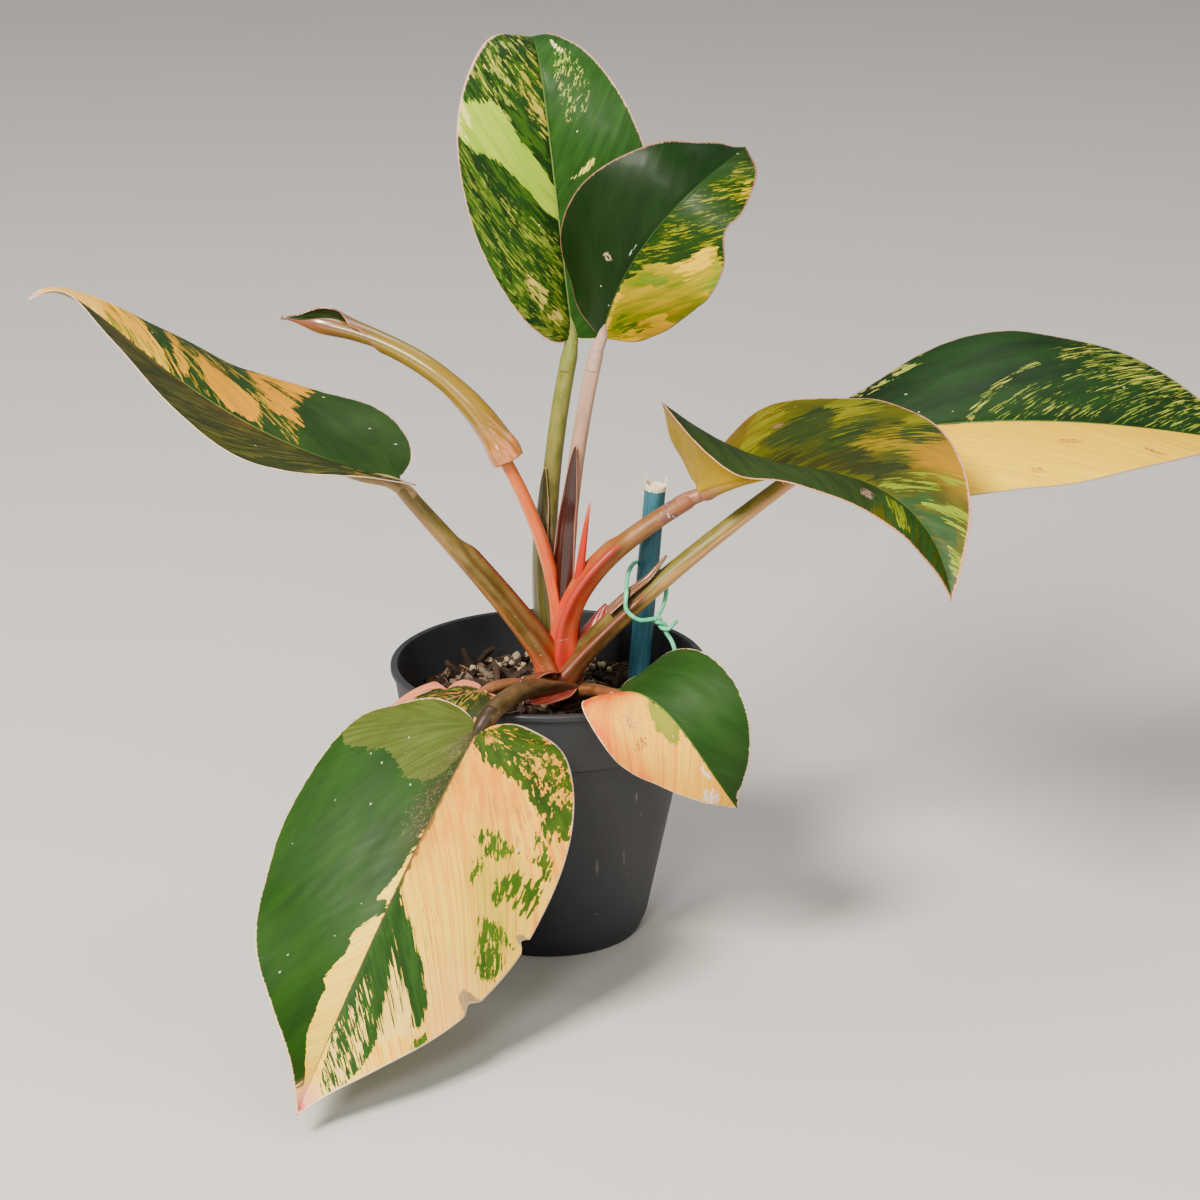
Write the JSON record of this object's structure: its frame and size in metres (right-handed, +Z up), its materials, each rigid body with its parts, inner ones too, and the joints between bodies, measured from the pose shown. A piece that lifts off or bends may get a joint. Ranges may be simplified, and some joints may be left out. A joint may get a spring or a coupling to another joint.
{
  "type": "potted philodendron",
  "caption": "Red congo mint philodendron in a black nursery pot, with long-stalked variegated leaves, a rolled young leaf and a short stake with a wire tie.",
  "frame": {"origin": "centre of the pot's flat base, where it rests", "axes": "+Z up along the pot's axis, +X to the right and +Y away from the viewer of the picture"},
  "size_m": [0.5095, 0.2873, 0.3671],
  "materials": {
    "pot": "matte",
    "soil": "matte",
    "crown": "satin",
    "stake": "satin",
    "wire_tie": "satin",
    "shoot_tip": "satin",
    "stalk_rolled": "satin",
    "rolled_leaf": "gloss",
    "stalk_back_left": "satin",
    "blade_back_left": "satin",
    "stalk_back_right": "satin",
    "blade_back_right": "satin",
    "stalk_left": "satin",
    "blade_left": "satin",
    "stalk_right_front": "satin",
    "blade_right_front": "satin",
    "stalk_right_back": "satin",
    "blade_right_back": "satin",
    "stalk_front_left": "satin",
    "blade_front_left": "satin",
    "stalk_front_right": "satin",
    "blade_front_right": "satin",
    "stalk_low_left": "satin",
    "blade_low_left": "satin"
  },
  "bodies": {
    "root": {"pot": "pot", "soil": "soil", "crown": "crown", "stake": "stake", "wire_tie": "wire_tie", "shoot_tip": "shoot_tip", "stalk_rolled": "stalk_rolled", "rolled_leaf": "rolled_leaf", "stalk_back_left": "stalk_back_left", "blade_back_left": "blade_back_left", "stalk_back_right": "stalk_back_right", "blade_back_right": "blade_back_right", "stalk_left": "stalk_left", "blade_left": "blade_left", "stalk_right_front": "stalk_right_front", "blade_right_front": "blade_right_front", "stalk_right_back": "stalk_right_back", "blade_right_back": "blade_right_back", "stalk_front_left": "stalk_front_left", "blade_front_left": "blade_front_left", "stalk_front_right": "stalk_front_right", "blade_front_right": "blade_front_right", "stalk_low_left": "stalk_low_left", "blade_low_left": "blade_low_left"}
  },
  "joints": []
}
